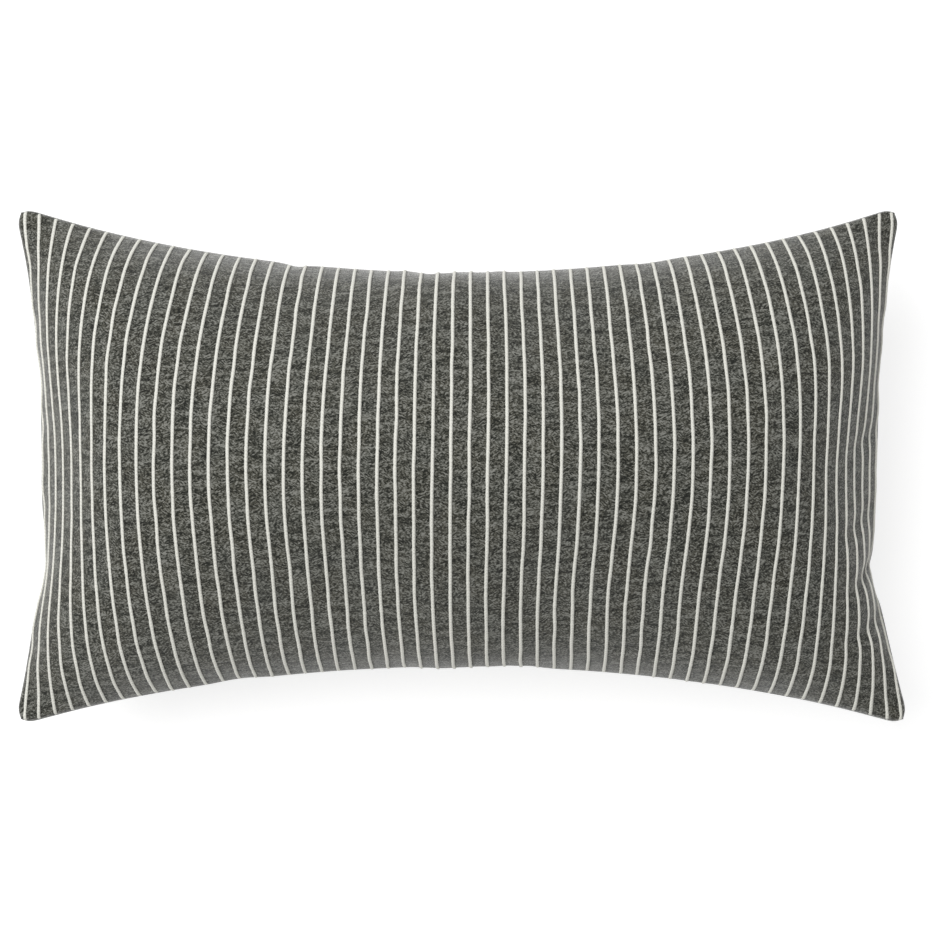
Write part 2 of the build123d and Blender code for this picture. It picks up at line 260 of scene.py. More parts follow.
for step in range(1, CLOTH_FRAMES + 1):
    bpy.context.scene.frame_set(step)
bpy.data.objects.remove(rest_plane)

swollen = bag.evaluated_get(bpy.context.evaluated_depsgraph_get()).data
points = np.empty(len(swollen.vertices) * 3)
swollen.vertices.foreach_get("co", points)
front_form, back_form = points.reshape(2, ROWS + 1, COLUMNS + 1, 3)
bpy.data.objects.remove(bag)

FRONT_RISE = 0.088
BACK_DROP = 0.0865
SMOOTH_PASSES = 10
END_SLACK = 0.06


def settled(form, side, reach):
    """Evens a simulated panel out: both its ends and both its long sides swell alike, to one height, with
    no small creases and no dip in the middle. The seams stay put."""
    x, y = seam_patch(across_grid, up_grid, lapped=side < 0)
    flat = np.stack([x, y, np.full_like(x, SEAM_LEVEL)], axis=-1)
    swell = form - flat
    swell = (swell + swell[:, ::-1] * (-1, 1, 1)) / 2
    swell = (swell + swell[::-1] * (1, -1, 1)) / 2
    even = flat + swell
    rise = np.abs(swell[..., 2])
    from_left = np.maximum.accumulate(rise, axis=1)
    from_right = np.maximum.accumulate(rise[:, ::-1], axis=1)[:, ::-1]
    rise = np.minimum(from_left, from_right) * (1 - END_SLACK * across_grid**2)
    even[..., 2] = SEAM_LEVEL + side * rise
    for _ in range(SMOOTH_PASSES):
        blended = even.copy()
        blended[1:-1, 1:-1] += even[:-2, 1:-1] + even[2:, 1:-1] + even[1:-1, :-2] + even[1:-1, 2:]
        blended[1:-1, 1:-1] /= 5
        even = blended
    height = even[..., 2] - SEAM_LEVEL
    even[..., 2] = SEAM_LEVEL + height * reach / np.abs(height).max()
    return even


front_form = settled(front_form, 1, FRONT_RISE)
back_form = settled(back_form, -1, BACK_DROP)

# ---- Cover panels: heathered charcoal cloth ----
# Each panel is one piece of thick soft woven cloth, cut 24 by 14 inches plus allowances. Its edges
# are turned in at the seams, which stand up stiffly and gather the cloth a little beside them.
CLOTH_THICKNESS = 0.001
SEAM_STEPS = (0.0, 0.0007, 0.0016, 0.0028, 0.0044, 0.0064, 0.0088)
CELLS_LONG = 210
CELLS_SHORT = 112
SEAM_HALF_GAP = 0.00012
SEAM_LIFT = {"front": 0.0026, "lap": 0.0046, "back": 0.0022}
SEAM_LIFT_REACH = 0.0014
GATHER_DEPTH = 0.0011
GATHER_REACH = 0.012
GATHER_LENGTH = 0.013
LUMP_DEPTH = 0.0009
LUMP_SIZE = 0.06
LOWEST = 0.0014
TURN_IN = 0.010
TURN_STEP = 0.0011
TURN_DROP = 0.0006
LAP_LEVEL = 0.0025
ZIP_REACH = 0.75
PATTERN_SHIFT = {1: (0.0, 0.0), -1: (0.043, 0.019)}
# Soft creases beside one short seam, where the filling is thin: place up the panel and in from the seam.
CREASES = [(-0.40, 0.020, 0.0032), (-0.22, 0.034, 0.0016), (-0.62, 0.030, 0.0022), (0.10, 0.024, 0.0012)]
CREASE_WIDTH = 0.007


def wander(x, y, size_x, size_y, seed):
    """Smooth random heights from -1 to 1, whose lumps are size_x by size_y across."""
    lattice = np.random.default_rng(seed).uniform(-1, 1, (64, 64))
    place_x, place_y = np.broadcast_arrays(np.asarray(x) / size_x, np.asarray(y) / size_y)
    cell_x = np.floor(place_x).astype(int)
    cell_y = np.floor(place_y).astype(int)
    share_x = place_x - cell_x
    share_y = place_y - cell_y
    share_x = share_x * share_x * (3 - 2 * share_x)
    share_y = share_y * share_y * (3 - 2 * share_y)
    left = cell_x % 64
    right = (cell_x + 1) % 64
    below = cell_y % 64
    above = (cell_y + 1) % 64
    low = lattice[below, left] * (1 - share_x) + lattice[below, right] * share_x
    high = lattice[above, left] * (1 - share_x) + lattice[above, right] * share_x
    return low * (1 - share_y) + high * share_y


def fine_places(length, cells):
    """Places from -1 to 1 across a cloth, close together by its two seams."""
    close = np.array(SEAM_STEPS) / (length / 2)
    middle = np.linspace(-1 + close[-1], 1 - close[-1], cells + 1)[1:-1]
    return np.concatenate([-1 + close, middle, 1 - close[::-1]])


def curve_weights(places, count):
    """Weights that read a smooth curve through evenly spaced points at each place from -1 to 1."""
    position = (places + 1) / 2 * (count - 1)
    cell = np.minimum(position.astype(int), count - 2)
    t = position - cell
    shares = (
        (-t + 2 * t**2 - t**3) / 2,
        (2 - 5 * t**2 + 3 * t**3) / 2,
        (t + 4 * t**2 - 3 * t**3) / 2,
        (t**3 - t**2) / 2,
    )
    weights = np.zeros((len(places), count + 2))
    for step, share in enumerate(shares):
        weights[np.arange(len(places)), cell + step] += share
    weights[:, 1] += 2 * weights[:, 0]
    weights[:, 2] -= weights[:, 0]
    weights[:, -2] += 2 * weights[:, -1]
    weights[:, -3] -= weights[:, -1]
    return weights[:, 1:-1]


def grid_normals(form, side):
    """Outward unit normals of a grid of points."""
    along = np.gradient(form, axis=1)
    across = np.gradient(form, axis=0)
    normal = side * np.cross(along, across)
    return normal / np.maximum(np.linalg.norm(normal, axis=-1, keepdims=True), 1e-12)


across_fine = fine_places(CLOTH_WIDTH, CELLS_LONG)
up_fine = fine_places(CLOTH_HEIGHT, CELLS_SHORT)
across_weights = curve_weights(across_fine, COLUMNS + 1)
up_weights = curve_weights(up_fine, ROWS + 1)
cloth_x, cloth_y = np.meshgrid(across_fine * CLOTH_WIDTH / 2, up_fine * CLOTH_HEIGHT / 2)
from_sides = CLOTH_WIDTH / 2 - np.abs(cloth_x)
from_long_seams = CLOTH_HEIGHT / 2 - np.abs(cloth_y)
from_seam = np.minimum(from_sides, from_long_seams)


def dressed(form, side):
    """A panel's fine grid: the filled form with its seam edges, gathers and lumps."""
    fine = np.einsum("ri,cj,ijk->rck", up_weights, across_weights, form)
    normal = grid_normals(fine, side)
    seed = 3 if side > 0 else 8
    beside_sides = wander(cloth_x, cloth_y, 0.05, GATHER_LENGTH, seed) * np.exp(-from_sides / GATHER_REACH)
    beside_long = wander(cloth_x, cloth_y, GATHER_LENGTH, 0.05, seed + 1)
    beside_long = beside_long * np.exp(-from_long_seams / GATHER_REACH)
    height = GATHER_DEPTH * (beside_sides + beside_long)
    lumps = wander(cloth_x, cloth_y, LUMP_SIZE, LUMP_SIZE, seed + 2)
    height = height + LUMP_DEPTH * lumps * np.minimum(1, from_seam / 0.04)
    if side > 0:
        for up, inward, depth in CREASES:
            lean = (CLOTH_WIDTH / 2 - cloth_x - inward) * 0.35
            across_crease = cloth_y - up * CLOTH_HEIGHT / 2 + lean
            along_crease = (CLOTH_WIDTH / 2 - cloth_x - inward) / 0.022
            height = height - depth * np.exp(-((across_crease / CREASE_WIDTH) ** 2) - along_crease**2)
    fine = fine + normal * (height * np.minimum(1, from_seam / 0.004))[..., None]
    edge_lift = SEAM_LIFT["front" if side > 0 else "back"] * (1 - np.exp(-from_seam / SEAM_LIFT_REACH))
    if side > 0:
        from_lap = CLOTH_HEIGHT / 2 + cloth_y
        lap_lift = SEAM_LIFT["lap"] * (1 - np.exp(-from_lap / SEAM_LIFT_REACH)) * np.exp(-from_lap / 0.06)
        edge_lift = np.where(from_lap < from_seam + 1e-9, np.maximum(edge_lift, lap_lift), edge_lift)
    fine[..., 2] += side * edge_lift * np.exp(-from_seam / 0.05)
    fine[..., 2] = np.maximum(fine[..., 2], LOWEST)
    return fine


def panel(name, form, side):
    """A panel's mesh: the fine grid, and its edges turned in flat beside the seam."""
    rows, columns = form.shape[:2]
    border = rim(rows, columns)
    vertices = form.reshape(-1, 3).copy()
    places = np.stack([cloth_x, cloth_y], axis=-1).reshape(-1, 2)
    edge = vertices[border]
    edge_places = places[border]
    vertices[border, 2] = SEAM_LEVEL + side * SEAM_HALF_GAP
    across = edge_places[:, 0] / (CLOTH_WIDTH / 2)
    up = edge_places[:, 1] / (CLOTH_HEIGHT / 2)
    outward_x = np.sign(across) * (np.abs(across) > 0.999)
    outward_y = np.sign(up) * (np.abs(up) > 0.999)
    outward = np.stack([outward_x, outward_y], axis=-1)
    at_bottom = (up < -0.999) & (side > 0)
    over_zip = at_bottom & (np.abs(across) < ZIP_REACH)
    past_zip = at_bottom & (np.abs(across) >= ZIP_REACH)
    turned = []
    turned_places = []
    for inset, drop in ((TURN_STEP, 0.0), (TURN_IN, TURN_DROP)):
        inset = np.where(past_zip & (drop > 0), TURN_IN + lap_at(across) / 2, inset)
        x, y = seam_patch(across, up, inset, lapped=side < 0)
        level = np.where(over_zip, LAP_LEVEL + drop, SEAM_HALF_GAP + drop)
        turned.append(np.stack([x, y, SEAM_LEVEL + side * level], axis=-1))
        turned_places.append(edge_places + outward * inset[:, None])
    count = len(vertices)
    loops = [border, count + np.arange(len(border)), count + len(border) + np.arange(len(border))]
    faces = [quads(rows, columns)]
    for outer, inner in zip(loops, loops[1:]):
        strip = [outer, inner, np.roll(inner, -1), np.roll(outer, -1)]
        faces.append(np.stack(strip, axis=1))
    faces = np.concatenate(faces)
    if side < 0:
        faces = faces[:, ::-1]
    made = new_object(name, np.concatenate([vertices, *turned]), faces=faces.tolist())
    all_places = np.concatenate([places, *turned_places]) + PATTERN_SHIFT[side]
    layer = made.data.uv_layers.new(name="Cloth")
    loop_vertices = np.empty(len(made.data.loops), int)
    made.data.loops.foreach_get("vertex_index", loop_vertices)
    layer.data.foreach_set("uv", all_places[loop_vertices].ravel())
    made.data.shade_smooth()
    thick = made.modifiers.new("Thickness", "SOLIDIFY")
    thick.thickness = CLOTH_THICKNESS
    thick.offset = -1
    return made


front_surface = dressed(front_form, 1)
back_surface = dressed(back_form, -1)
cover_front = panel("cover_front_cloth", front_surface, 1)
cover_back = panel("cover_back_cloth", back_surface, -1)

# The cloth's colour: mid-grey yarns flecked with near-black and pale fibres, in short slanting marks.
FLECK_LONG = 0.0017
FLECK_SHORT = 0.00095
WEAVE_PITCH = 0.00085
# Rows of weft lie side by side a little darker or paler: how closely they change along and across.
WEFT_CHANGES = (75.0, 260.0)
WEFT_SHARE = 0.42


def mapped(tree, value, low, high, low_result=0.0, high_result=1.0):
    """value, carried smoothly from one range to another."""
    settings = {"interpolation_type": "SMOOTHSTEP"}
    inputs = {"Value": value, "_1": low, "_2": high, "_3": low_result, "_4": high_result}
    return node(tree, "ShaderNodeMapRange", settings, **inputs).outputs[0]


def mixed(tree, share, first, second):
    """Two colours mixed."""
    made = tree.nodes.new("ShaderNodeMix")
    made.data_type = "RGBA"
    for place, value in ((0, share), (6, first), (7, second)):
        if isinstance(value, bpy.types.NodeSocket):
            tree.links.new(value, made.inputs[place])
        else:
            made.inputs[place].default_value = value
    return made.outputs[2]


def new_group(name, kind, inputs, outputs):
    """A node group with named inputs and outputs, as (name, socket type, default or None)."""
    tree = bpy.data.node_groups.new(name, kind)
    for label, socket_kind, default in inputs:
        socket = tree.interface.new_socket(name=label, in_out="INPUT", socket_type=socket_kind)
        if default is not None:
            socket.default_value = default
    for label, socket_kind in outputs:
        tree.interface.new_socket(name=label, in_out="OUTPUT", socket_type=socket_kind)
    return tree, tree.nodes.new("NodeGroupInput"), tree.nodes.new("NodeGroupOutput")


heather, heather_in, heather_out = new_group(
    "Heathered weave",
    "ShaderNodeTree",
    [
        ("Place", "NodeSocketVector", None),
        ("Fleck Length", "NodeSocketFloat", FLECK_LONG),
        ("Fleck Width", "NodeSocketFloat", FLECK_SHORT),
        ("Weave Pitch", "NodeSocketFloat", WEAVE_PITCH),
    ],
    [(label, "NodeSocketFloat") for label in ("Dark", "Pale", "Mottle", "Height")],
)
place = heather_in.outputs["Place"]
split = node(heather, "ShaderNodeSeparateXYZ", Vector=place)
slants = []
for slant, shift in ((0.45, 0.0), (-0.35, 7.7)):
    sheared = calc(heather, "ADD", split.outputs[1], calc(heather, "MULTIPLY", split.outputs[0], slant))
    mark_x = calc(heather, "DIVIDE", split.outputs[0], heather_in.outputs["Fleck Length"])
    mark_y = calc(heather, "DIVIDE", sheared, heather_in.outputs["Fleck Width"])
    mark = node(heather, "ShaderNodeCombineXYZ", X=mark_x, Y=mark_y, Z=shift).outputs[0]
    streaks = node(heather, "ShaderNodeTexNoise", Vector=mark, Scale=1.0, Detail=2.0, Roughness=0.6)
    slants.append(streaks.outputs[0])
patches = node(heather, "ShaderNodeTexNoise", Vector=place, Scale=170.0, Detail=1.0).outputs[0]
which = mapped(heather, patches, 0.42, 0.58)
marks = node(heather, "ShaderNodeMix", _0=which, _2=slants[0], _3=slants[1]).outputs[0]
broad = node(heather, "ShaderNodeTexNoise", Vector=place, Scale=42.0, Detail=2.0).outputs[0]
fibre = node(heather, "ShaderNodeTexNoise", Vector=place, Scale=1500.0, Detail=1.0).outputs[0]
weft_x = calc(heather, "MULTIPLY", split.outputs[0], WEFT_CHANGES[0])
weft_y = calc(heather, "MULTIPLY", split.outputs[1], WEFT_CHANGES[1])
weft_place = node(heather, "ShaderNodeCombineXYZ", X=weft_x, Y=weft_y).outputs[0]
weft = node(heather, "ShaderNodeTexNoise", Vector=weft_place, Scale=1.0, Detail=3.0, Roughness=0.6)
uneven = calc(heather, "MULTIPLY", calc(heather, "SUBTRACT", weft.outputs[0], 0.5), WEFT_SHARE)
marks = calc(heather, "ADD", marks, uneven)
waves = []
for axis in (0, 1):
    turns = calc(heather, "DIVIDE", split.outputs[axis], heather_in.outputs["Weave Pitch"])
    waves.append(calc(heather, "SINE", calc(heather, "MULTIPLY", turns, 2 * pi)))
basket = calc(heather, "MULTIPLY", *waves)
relief = calc(heather, "ADD", calc(heather, "MULTIPLY", basket, 0.18), calc(heather, "MULTIPLY", marks, 1.6))
relief = calc(heather, "ADD", relief, calc(heather, "MULTIPLY", fibre, 0.35))
for label, result in (
    ("Dark", mapped(heather, marks, 0.53, 0.38)),
    ("Pale", mapped(heather, marks, 0.49, 0.65)),
    ("Mottle", mapped(heather, broad, 0.3, 0.7)),
    ("Height", relief),
):
    heather.links.new(result, heather_out.inputs[label])

CLOTH_GREY = (0.067, 0.069, 0.058, 1)
CLOTH_WARM = (0.063, 0.061, 0.046, 1)
CLOTH_DARK = (0.008, 0.009, 0.007, 1)
CLOTH_PALE = (0.222, 0.223, 0.203, 1)
cover_cloth, tree, shader = new_material("heathered_charcoal_cloth")
cloth_uv = node(tree, "ShaderNodeUVMap", {"uv_map": "Cloth"}).outputs[0]
weave = node(tree, "ShaderNodeGroup", {"node_tree": heather}, Place=cloth_uv)
tint = mixed(tree, weave.outputs["Mottle"], CLOTH_WARM, CLOTH_GREY)
shade = mixed(tree, calc(tree, "MULTIPLY", weave.outputs["Dark"], 0.95), tint, CLOTH_DARK)
tree.links.new(
    mixed(tree, calc(tree, "MULTIPLY", weave.outputs["Pale"], 0.85), shade, CLOTH_PALE),
    shader.inputs["Base Color"],
)
bump = node(tree, "ShaderNodeBump", Strength=0.6, Distance=0.0004, Height=weave.outputs["Height"])
tree.links.new(bump.outputs[0], shader.inputs["Normal"])
shader.inputs["Roughness"].default_value = 0.92
shader.inputs["Specular IOR Level"].default_value = 0.2
shader.inputs["Sheen Weight"].default_value = 0.6
shader.inputs["Sheen Roughness"].default_value = 0.4

for piece, cad_node in ((cover_front, "cover_front"), (cover_back, "cover_back")):
    piece.data.materials.append(cover_cloth)
    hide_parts(cad_node)
    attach(piece, "pillow")

# ---- Raised ivory yarns ----
# Thick ivory yarns are woven in every 11.3 mm along the short way and stand proud of the cloth. Each
# is slightly slubby, runs a little unevenly, and ends in the turned-in seam.
STRIPES = 54
STRIPE_PITCH = CLOTH_WIDTH / 53.98
FIRST_STRIPE = 0.55
BACK_STRIPE_SHIFT = 0.45
YARN_HALF_WIDTH = 0.00108
YARN_FLATNESS = 0.62
YARN_PROUD = 0.0003
YARN_STEP = 0.0011
NUB_LENGTH = 0.0016
NUB_SHARE = 0.16
YARN_DRIFT = 0.0003
YARN_SINK = 0.0011
YARN_TAPER = 0.002
YARN_SINK_REACH = 0.0016


def along_weights(places, stops):
    """Weights that read between neighbouring stops, at each place."""
    cell = np.clip(np.searchsorted(stops, places) - 1, 0, len(stops) - 2)
    share = (places - stops[cell]) / (stops[cell + 1] - stops[cell])
    weights = np.zeros((len(places), len(stops)))
    weights[np.arange(len(places)), cell] = 1 - share
    weights[np.arange(len(places)), cell + 1] += share
    return weights


yarn_tree, yarn_in, yarn_out = new_group(
    "Raised yarn",
    "GeometryNodeTree",
    [
        ("Geometry", "NodeSocketGeometry", None),
        ("Half Width", "NodeSocketFloat", YARN_HALF_WIDTH),
        ("Flatness", "NodeSocketFloat", YARN_FLATNESS),
        ("Nub Length", "NodeSocketFloat", NUB_LENGTH),
        ("Nub Share", "NodeSocketFloat", NUB_SHARE),
        ("Material", "NodeSocketMaterial", None),
    ],
    [("Geometry", "NodeSocketGeometry")],
)


def path_curve(tree, geometry):
    """Edges turned into curves whose profiles and copies stand up along the stored normals."""
    curve = node(tree, "GeometryNodeMeshToCurve", Mesh=geometry).outputs[0]
    stored = node(tree, "GeometryNodeInputNamedAttribute", {"data_type": "FLOAT_VECTOR"}, Name="cloth_normal")
    settings = {"mode": "FREE"}
    made = node(tree, "GeometryNodeSetCurveNormal", settings, Curve=curve, Normal=stored.outputs[0])
    return made.outputs[0]


def finished(tree, group_in, group_out, geometry):
    """Ends a tree: copies made real, smooth shading, and the material."""
    real = node(tree, "GeometryNodeRealizeInstances", Geometry=geometry).outputs[0]
    shaded = node(tree, "GeometryNodeSetShadeSmooth", Geometry=real).outputs[0]
    painted = node(tree, "GeometryNodeSetMaterial", Geometry=shaded, Material=group_in.outputs["Material"])
    tree.links.new(painted.outputs[0], group_out.inputs["Geometry"])


def grow(name, paths, normals, tree, inputs):
    """Runs a node tree over paths, each an array of points, and keeps the result as a plain mesh."""
    starts = np.cumsum([0] + [len(path) for path in paths])
    edges = []
    for start, path in zip(starts, paths):
        steps = np.arange(start, start + len(path) - 1)
        edges.append(np.stack([steps, steps + 1], axis=1))
    made = new_object(name, np.concatenate(paths), edges=np.concatenate(edges).tolist())
    stored = made.data.attributes.new("cloth_normal", "FLOAT_VECTOR", "POINT")
    stored.data.foreach_set("vector", np.concatenate(normals).ravel())
    modifier = made.modifiers.new(tree.name, "NODES")
    modifier.node_group = tree
    for item in tree.interface.items_tree:
        if item.name in inputs:
            modifier[item.identifier] = inputs[item.name]
    grown = made.evaluated_get(bpy.context.evaluated_depsgraph_get())
    mesh = bpy.data.meshes.new_from_object(grown)
    made.modifiers.remove(modifier)
    made.data = mesh
    return made


line = path_curve(yarn_tree, yarn_in.outputs["Geometry"])
spline = node(yarn_tree, "GeometryNodeSplineParameter")
line_place = node(yarn_tree, "GeometryNodeInputPosition").outputs[0]
nub_place = calc(yarn_tree, "DIVIDE", spline.outputs["Length"], yarn_in.outputs["Nub Length"])
line_x = node(yarn_tree, "ShaderNodeSeparateXYZ", Vector=line_place).outputs[0]
side_place = calc(yarn_tree, "MULTIPLY", line_x, 300.0)
noise_place = node(yarn_tree, "ShaderNodeCombineXYZ", X=nub_place, Y=side_place).outputs[0]
nub = node(yarn_tree, "ShaderNodeTexNoise", Vector=noise_place, Scale=1.0, Detail=1.0).outputs[0]
nub = calc(yarn_tree, "MULTIPLY", calc(yarn_tree, "SUBTRACT", nub, 0.5), 4.0)
swell = calc(yarn_tree, "ADD", calc(yarn_tree, "MULTIPLY", nub, yarn_in.outputs["Nub Share"]), 1.0)
kept_line = node(
    yarn_tree, "GeometryNodeStoreNamedAttribute", {"data_type": "FLOAT", "domain": "POINT"},
    Geometry=line, Name="yarn_along", Value=spline.outputs["Length"],
).outputs[0]
round_profile = node(yarn_tree, "GeometryNodeCurvePrimitiveCircle", Resolution=5, Radius=1.0).outputs[0]
turned_profile = node(
    yarn_tree, "GeometryNodeStoreNamedAttribute", {"data_type": "FLOAT", "domain": "POINT"},
    Geometry=round_profile, Name="yarn_around",
    Value=node(yarn_tree, "GeometryNodeSplineParameter").outputs["Factor"],
).outputs[0]
oval = node(yarn_tree, "ShaderNodeCombineXYZ", X=yarn_in.outputs["Flatness"], Y=1.0, Z=1.0).outputs[0]
flat_profile = node(yarn_tree, "GeometryNodeTransform", Geometry=turned_profile, Scale=oval).outputs[0]
from_start = spline.outputs["Length"]
whole = node(yarn_tree, "GeometryNodeSplineLength").outputs["Length"]
from_end = calc(yarn_tree, "MINIMUM", from_start, calc(yarn_tree, "SUBTRACT", whole, from_start))
swell = calc(yarn_tree, "MULTIPLY", swell, mapped(yarn_tree, from_end, 0.0, YARN_TAPER, 0.25, 1.0))
yarn_mesh = node(
    yarn_tree, "GeometryNodeCurveToMesh", Curve=kept_line, Profile_Curve=flat_profile,
    Scale=calc(yarn_tree, "MULTIPLY", swell, yarn_in.outputs["Half Width"]), Fill_Caps=True,
).outputs[0]
finished(yarn_tree, yarn_in, yarn_out, yarn_mesh)

YARN_TWIST = 0.0021
YARN_IVORY = (0.67, 0.665, 0.61, 1)
YARN_SHADOW = (0.53, 0.525, 0.47, 1)
ivory_yarn, tree, shader = new_material("ivory_yarn")
ply, ply_in, ply_out = new_group(
    "Twisted plies",
    "ShaderNodeTree",
    [
        ("Along", "NodeSocketFloat", None),
        ("Around", "NodeSocketFloat", None),
        ("Twist", "NodeSocketFloat", YARN_TWIST),
    ],
    [("Groove", "NodeSocketFloat"), ("Height", "NodeSocketFloat")],
)
turns = calc(ply, "DIVIDE", ply_in.outputs["Along"], ply_in.outputs["Twist"])
turns = calc(ply, "ADD", turns, ply_in.outputs["Around"])
crest = calc(ply, "SINE", calc(ply, "MULTIPLY", turns, 2 * pi))
spot = node(ply, "ShaderNodeTexCoord").outputs["Object"]
fuzz = node(ply, "ShaderNodeTexNoise", Scale=1300.0, Detail=2.0, Vector=spot)
height = calc(ply, "ADD", crest, fuzz.outputs[0])
ply.links.new(mapped(ply, height, 0.2, -0.7), ply_out.inputs["Groove"])
ply.links.new(height, ply_out.inputs["Height"])
along = node(tree, "ShaderNodeAttribute", {"attribute_name": "yarn_along"}).outputs["Fac"]
around = node(tree, "ShaderNodeAttribute", {"attribute_name": "yarn_around"}).outputs["Fac"]
plies = node(tree, "ShaderNodeGroup", {"node_tree": ply}, Along=along, Around=around)
tree.links.new(mixed(tree, plies.outputs["Groove"], YARN_IVORY, YARN_SHADOW), shader.inputs["Base Color"])
bump = node(tree, "ShaderNodeBump", Strength=0.3, Distance=0.0002, Height=plies.outputs["Height"])
tree.links.new(bump.outputs[0], shader.inputs["Normal"])
shader.inputs["Roughness"].default_value = 0.85
shader.inputs["Specular IOR Level"].default_value = 0.25
shader.inputs["Sheen Weight"].default_value = 0.2


def stripe_paths(surface, side, first):
    """The ivory yarns' lines on a panel, and the cloth's normals along them."""
    normals = grid_normals(surface, side)
    stripes = -1 + 2 * (first + np.arange(STRIPES)) / (CLOTH_WIDTH / STRIPE_PITCH)
    steps = np.linspace(-1, 1, int(CLOTH_HEIGHT / YARN_STEP))
    over = along_weights(stripes, across_fine)
    down = along_weights(steps, up_fine)
    lines = np.einsum("sc,pr,rck->spk", over, down, surface)
    standing = np.einsum("sc,pr,rck->spk", over, down, normals)
    sideways = np.cross(np.gradient(lines, axis=1), standing)
    sideways /= np.maximum(np.linalg.norm(sideways, axis=-1, keepdims=True), 1e-12)
    stripe_x, stripe_y = np.meshgrid(stripes * CLOTH_WIDTH / 2, steps * CLOTH_HEIGHT / 2, indexing="ij")
    drift = wander(stripe_x * 3, stripe_y, 0.02, 0.016, 21) * YARN_DRIFT
    drift = drift * (1 - np.abs(steps) ** 20)
    to_seam = (1 - np.abs(steps)) * CLOTH_HEIGHT / 2
    proud = YARN_PROUD - YARN_SINK * np.exp(-to_seam / YARN_SINK_REACH)
    lines = lines + sideways * drift[..., None] + standing * proud[:, None]
    return lines, standing


YARN_INPUTS = {
    "Half Width": YARN_HALF_WIDTH,
    "Flatness": YARN_FLATNESS,
    "Nub Length": NUB_LENGTH,
    "Nub Share": NUB_SHARE,
    "Material": ivory_yarn,
}
for label, surface, side, first in (
    ("front", front_surface, 1, FIRST_STRIPE),
    ("back", back_surface, -1, FIRST_STRIPE - BACK_STRIPE_SHIFT),
):
    lines, standing = stripe_paths(surface, side, first)
    made = grow(f"cover_{label}_yarns", list(lines), list(standing), yarn_tree, YARN_INPUTS)
    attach(made, "pillow")

# ---- Insert: a plain white case stuffed with fibre ----
# A separate closed cushion of thin white cotton fills the cover. It is a little smaller than the
# cover's seams and presses against both panels.
INSERT_INSET = 0.015
INSERT_CLEARANCE = 0.0042
INSERT_CLOTH = 0.0005
INSERT_CELLS = (90, 50)
FILL_CLEARANCE = 0.0012


def insert_form(side, surface, inset, clearance):
    """A grid of points just inside a cover panel, drawn together at the insert's own seam."""
    tree = BVHTree.FromPolygons(
        [tuple(v) for v in surface.reshape(-1, 3)], quads(*surface.shape[:2]).tolist()
    )
    across, up = np.meshgrid(
        np.sin(np.linspace(-pi / 2, pi / 2, INSERT_CELLS[0] + 1)),
        np.sin(np.linspace(-pi / 2, pi / 2, INSERT_CELLS[1] + 1)),
    )
    x, y = seam_patch(across, up, inset, lapped=True)
    height = np.empty_like(x)
    for place in np.ndindex(x.shape):
        found = tree.ray_cast((x[place], y[place], SEAM_LEVEL), (0, 0, side))[0]
        height[place] = abs(found.z - SEAM_LEVEL) if found else 0.0
    closing = np.sqrt(1 - np.abs(across) ** 10) * np.sqrt(1 - np.abs(up) ** 8)
    height = np.maximum(0.0, height * 0.94 - clearance) * closing + 0.0001
    return np.stack([x, y, SEAM_LEVEL + side * height], axis=-1)


def sewn_half(name, form, side):
    """An insert panel, with its cloth's thickness on the inside."""
    faces = quads(*form.shape[:2])
    made = new_object(name, form.reshape(-1, 3), faces=(faces if side > 0 else faces[:, ::-1]).tolist())
    made.data.shade_smooth()
    thick = made.modifiers.new("Thickness", "SOLIDIFY")
    thick.thickness = INSERT_CLOTH
    thick.offset = -1
    return made


plain, plain_in, plain_out = new_group(
    "Plain weave",
    "ShaderNodeTree",
    [("Place", "NodeSocketVector", None), ("Pitch", "NodeSocketFloat", 0.0006)],
    [("Height", "NodeSocketFloat"), ("Slub", "NodeSocketFloat")],
)
split = node(plain, "ShaderNodeSeparateXYZ", Vector=plain_in.outputs["Place"])
threads = []
for axis in (0, 1):
    turns = calc(plain, "DIVIDE", split.outputs[axis], plain_in.outputs["Pitch"])
    threads.append(calc(plain, "SINE", calc(plain, "MULTIPLY", turns, 2 * pi)))
slub = node(plain, "ShaderNodeTexNoise", Vector=plain_in.outputs["Place"], Scale=240.0, Detail=3.0).outputs[0]
plain.links.new(calc(plain, "ADD", calc(plain, "MULTIPLY", *threads), slub), plain_out.inputs["Height"])
plain.links.new(slub, plain_out.inputs["Slub"])


def woven_material(name, pitch, light, dark, roughness):
    """Plain woven cloth of one colour, a little uneven from thread to thread."""
    material, tree, shader = new_material(name)
    spot = node(tree, "ShaderNodeTexCoord").outputs["Object"]
    cloth = node(tree, "ShaderNodeGroup", {"node_tree": plain}, Place=spot, Pitch=pitch)
    uneven = mapped(tree, cloth.outputs["Slub"], 0.3, 0.7)
    tree.links.new(mixed(tree, uneven, dark, light), shader.inputs["Base Color"])
    bump = node(tree, "ShaderNodeBump", Strength=0.4, Distance=0.0002, Height=cloth.outputs["Height"])
    tree.links.new(bump.outputs[0], shader.inputs["Normal"])
    shader.inputs["Roughness"].default_value = roughness
    return material


white_cotton = woven_material("white_cotton", 0.0006, (0.84, 0.84, 0.82, 1), (0.74, 0.74, 0.71, 1), 0.9)
insert_panels = []
for label, surface, side in (("front", front_surface, 1), ("back", back_surface, -1)):
    form = insert_form(side, surface, INSERT_INSET, INSERT_CLEARANCE)
    made = sewn_half(f"insert_{label}_cloth", form, side)
    made.data.materials.append(white_cotton)
    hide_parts(f"insert_shell_{label}")
    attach(made, "pillow")
    insert_panels.append(form)

